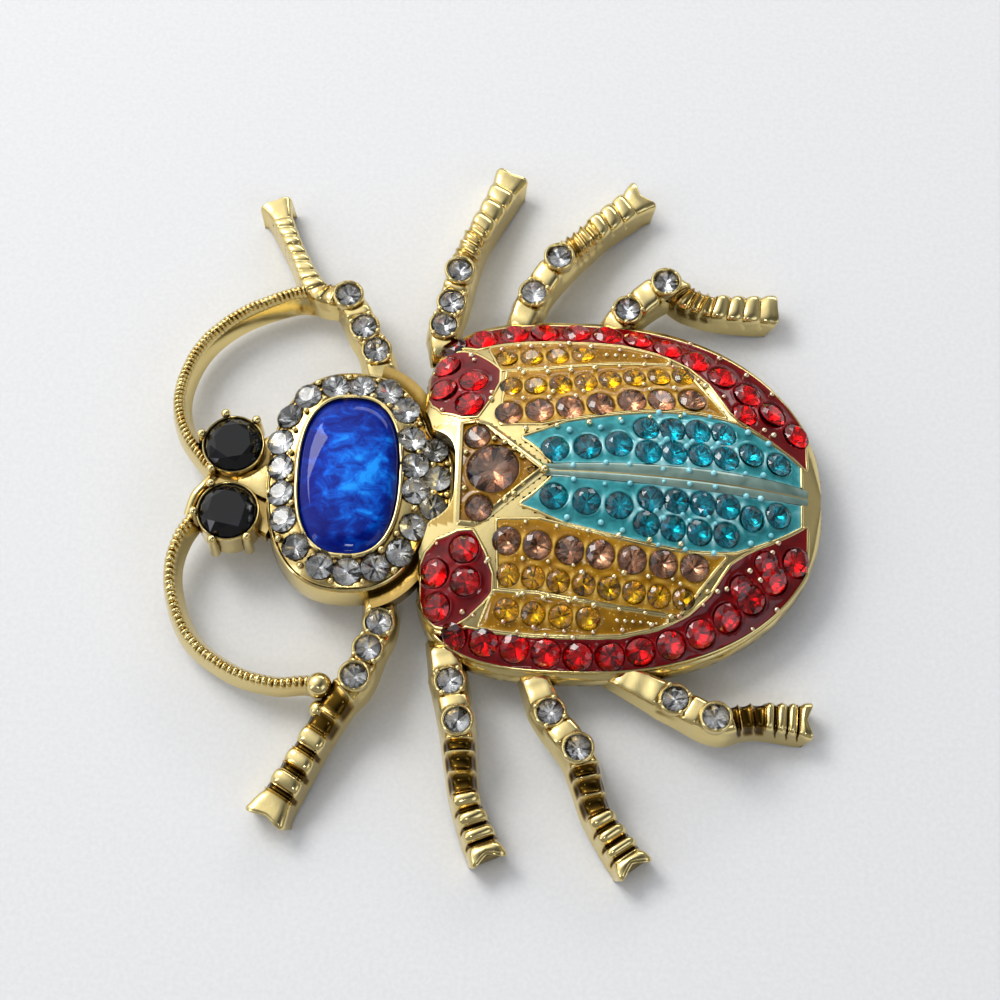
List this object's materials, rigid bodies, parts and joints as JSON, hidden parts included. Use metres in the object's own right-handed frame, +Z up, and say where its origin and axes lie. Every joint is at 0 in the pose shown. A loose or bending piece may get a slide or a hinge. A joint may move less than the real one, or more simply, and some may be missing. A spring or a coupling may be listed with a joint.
{
  "type": "insect brooch",
  "caption": "Domed beetle brooch with paved and enamelled wing cases, collar round a blue oval, stone eyes, ribbed legs, looped antennae and a pin on its hollow back.",
  "frame": {"origin": "middle of the bounding box at the surface the brooch rests on", "axes": "+X points to the beetle's tail, +Y to the beetle's right, +Z up from the surface, which is the brooch's face side"},
  "size_m": [0.0561, 0.0653, 0.0096],
  "materials": {
    "gold_plate": "polished",
    "blue_enamel": "gloss",
    "clear_pave": "gloss",
    "black_stone": "gloss",
    "red_enamel": "gloss",
    "amber_enamel": "gloss",
    "teal_enamel": "gloss",
    "peach_stone": "gloss",
    "clear_stone": "gloss"
  },
  "bodies": {
    "root": {"casting": "gold_plate", "pin_finding": "gold_plate", "blue_enamel": "blue_enamel", "collar_pave": "clear_pave", "eye_stone_right": "black_stone", "eye_stone_left": "black_stone", "scutellum_pave": "amber_enamel", "scutellum_stone": "peach_stone", "shoulder_pave_right": "red_enamel", "shoulder_pave_left": "red_enamel", "edge_pave_right": "red_enamel", "edge_pave_left": "red_enamel", "amber_strip_right": "amber_enamel", "amber_strip_left": "amber_enamel", "amber_band_right": "amber_enamel", "amber_band_left": "amber_enamel", "teal_band_right": "teal_enamel", "teal_band_left": "teal_enamel", "fore_leg_right_stone_1": "clear_stone", "fore_leg_right_stone_2": "clear_stone", "fore_leg_right_stone_3": "clear_stone", "fore_leg_left_stone_1": "clear_stone", "fore_leg_left_stone_2": "clear_stone", "fore_leg_left_stone_3": "clear_stone", "front_leg_right_stone_1": "clear_stone", "front_leg_right_stone_2": "clear_stone", "front_leg_right_stone_3": "clear_stone", "front_leg_left_stone_1": "clear_stone", "front_leg_left_stone_2": "clear_stone", "middle_leg_right_stone_1": "clear_stone", "middle_leg_right_stone_2": "clear_stone", "middle_leg_left_stone_1": "clear_stone", "middle_leg_left_stone_2": "clear_stone", "hind_leg_right_stone_1": "clear_stone", "hind_leg_right_stone_2": "clear_stone", "hind_leg_left_stone_1": "clear_stone", "hind_leg_left_stone_2": "clear_stone"}
  },
  "joints": []
}
